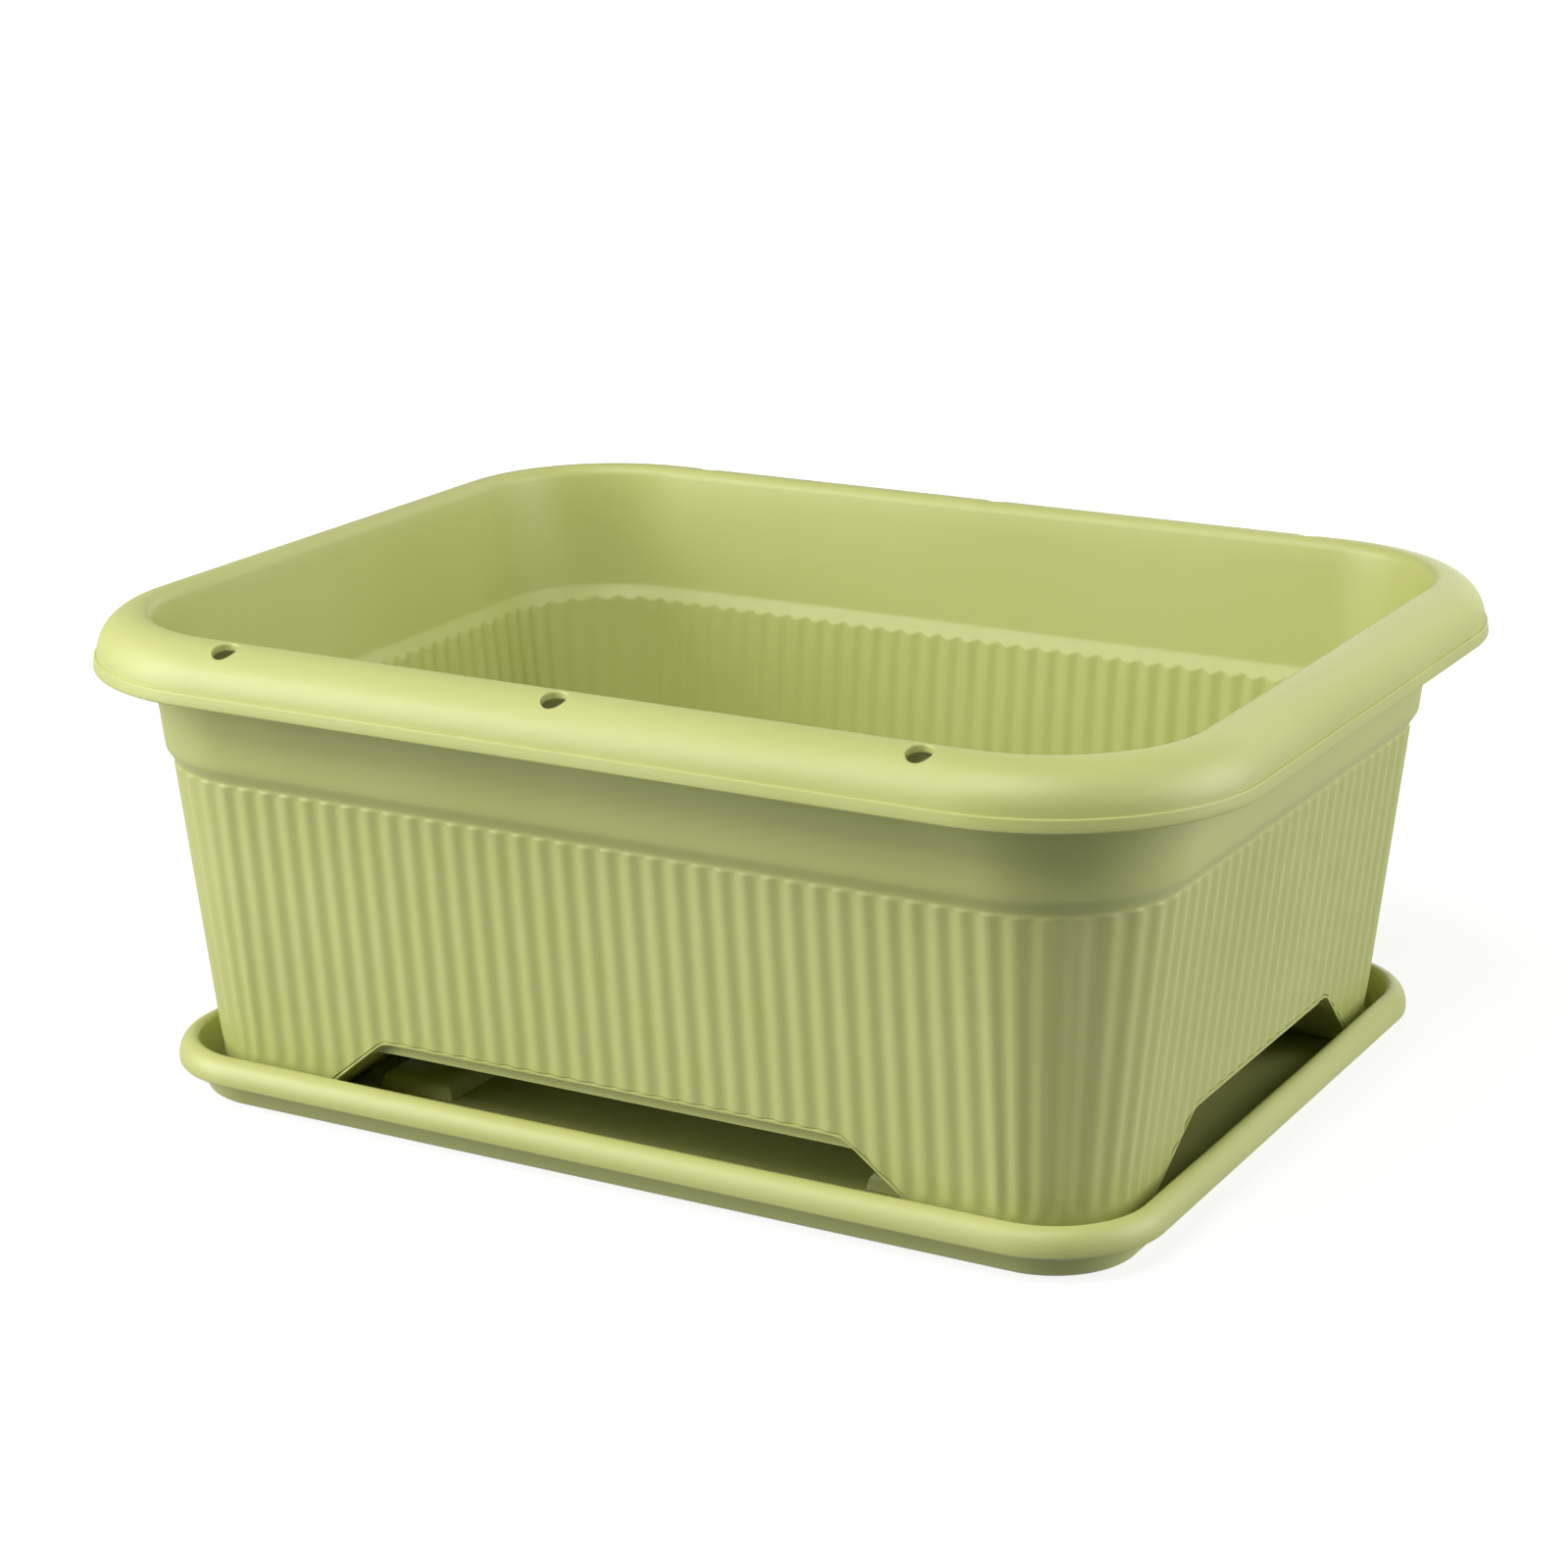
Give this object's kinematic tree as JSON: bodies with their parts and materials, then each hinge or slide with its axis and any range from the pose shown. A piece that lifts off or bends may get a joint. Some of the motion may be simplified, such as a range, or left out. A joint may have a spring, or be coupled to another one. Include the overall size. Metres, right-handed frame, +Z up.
{
  "type": "herb planter",
  "caption": "Rectangular indoor planter: a tapered, ribbed tub on notched corner feet, with a wide rolled rim pierced for plant supports, lifts out of a shallow drip saucer.",
  "frame": {"origin": "under the middle of the saucer, on the surface that it stands on", "axes": "+X along the long side, +Z up; the side with three visible rim holes in the picture faces -Y"},
  "size_m": [0.4, 0.322, 0.1634],
  "materials": {
    "tub_plastic": "satin",
    "saucer_plastic": "satin"
  },
  "bodies": {
    "saucer": {"saucer": "saucer_plastic"},
    "tub": {"tub": "tub_plastic"}
  },
  "joints": [
    {"name": "tub_lift", "type": "slide", "parent": "saucer", "child": "tub", "axis": [0, 0, 1], "range_m": [0, 0.06]}
  ]
}
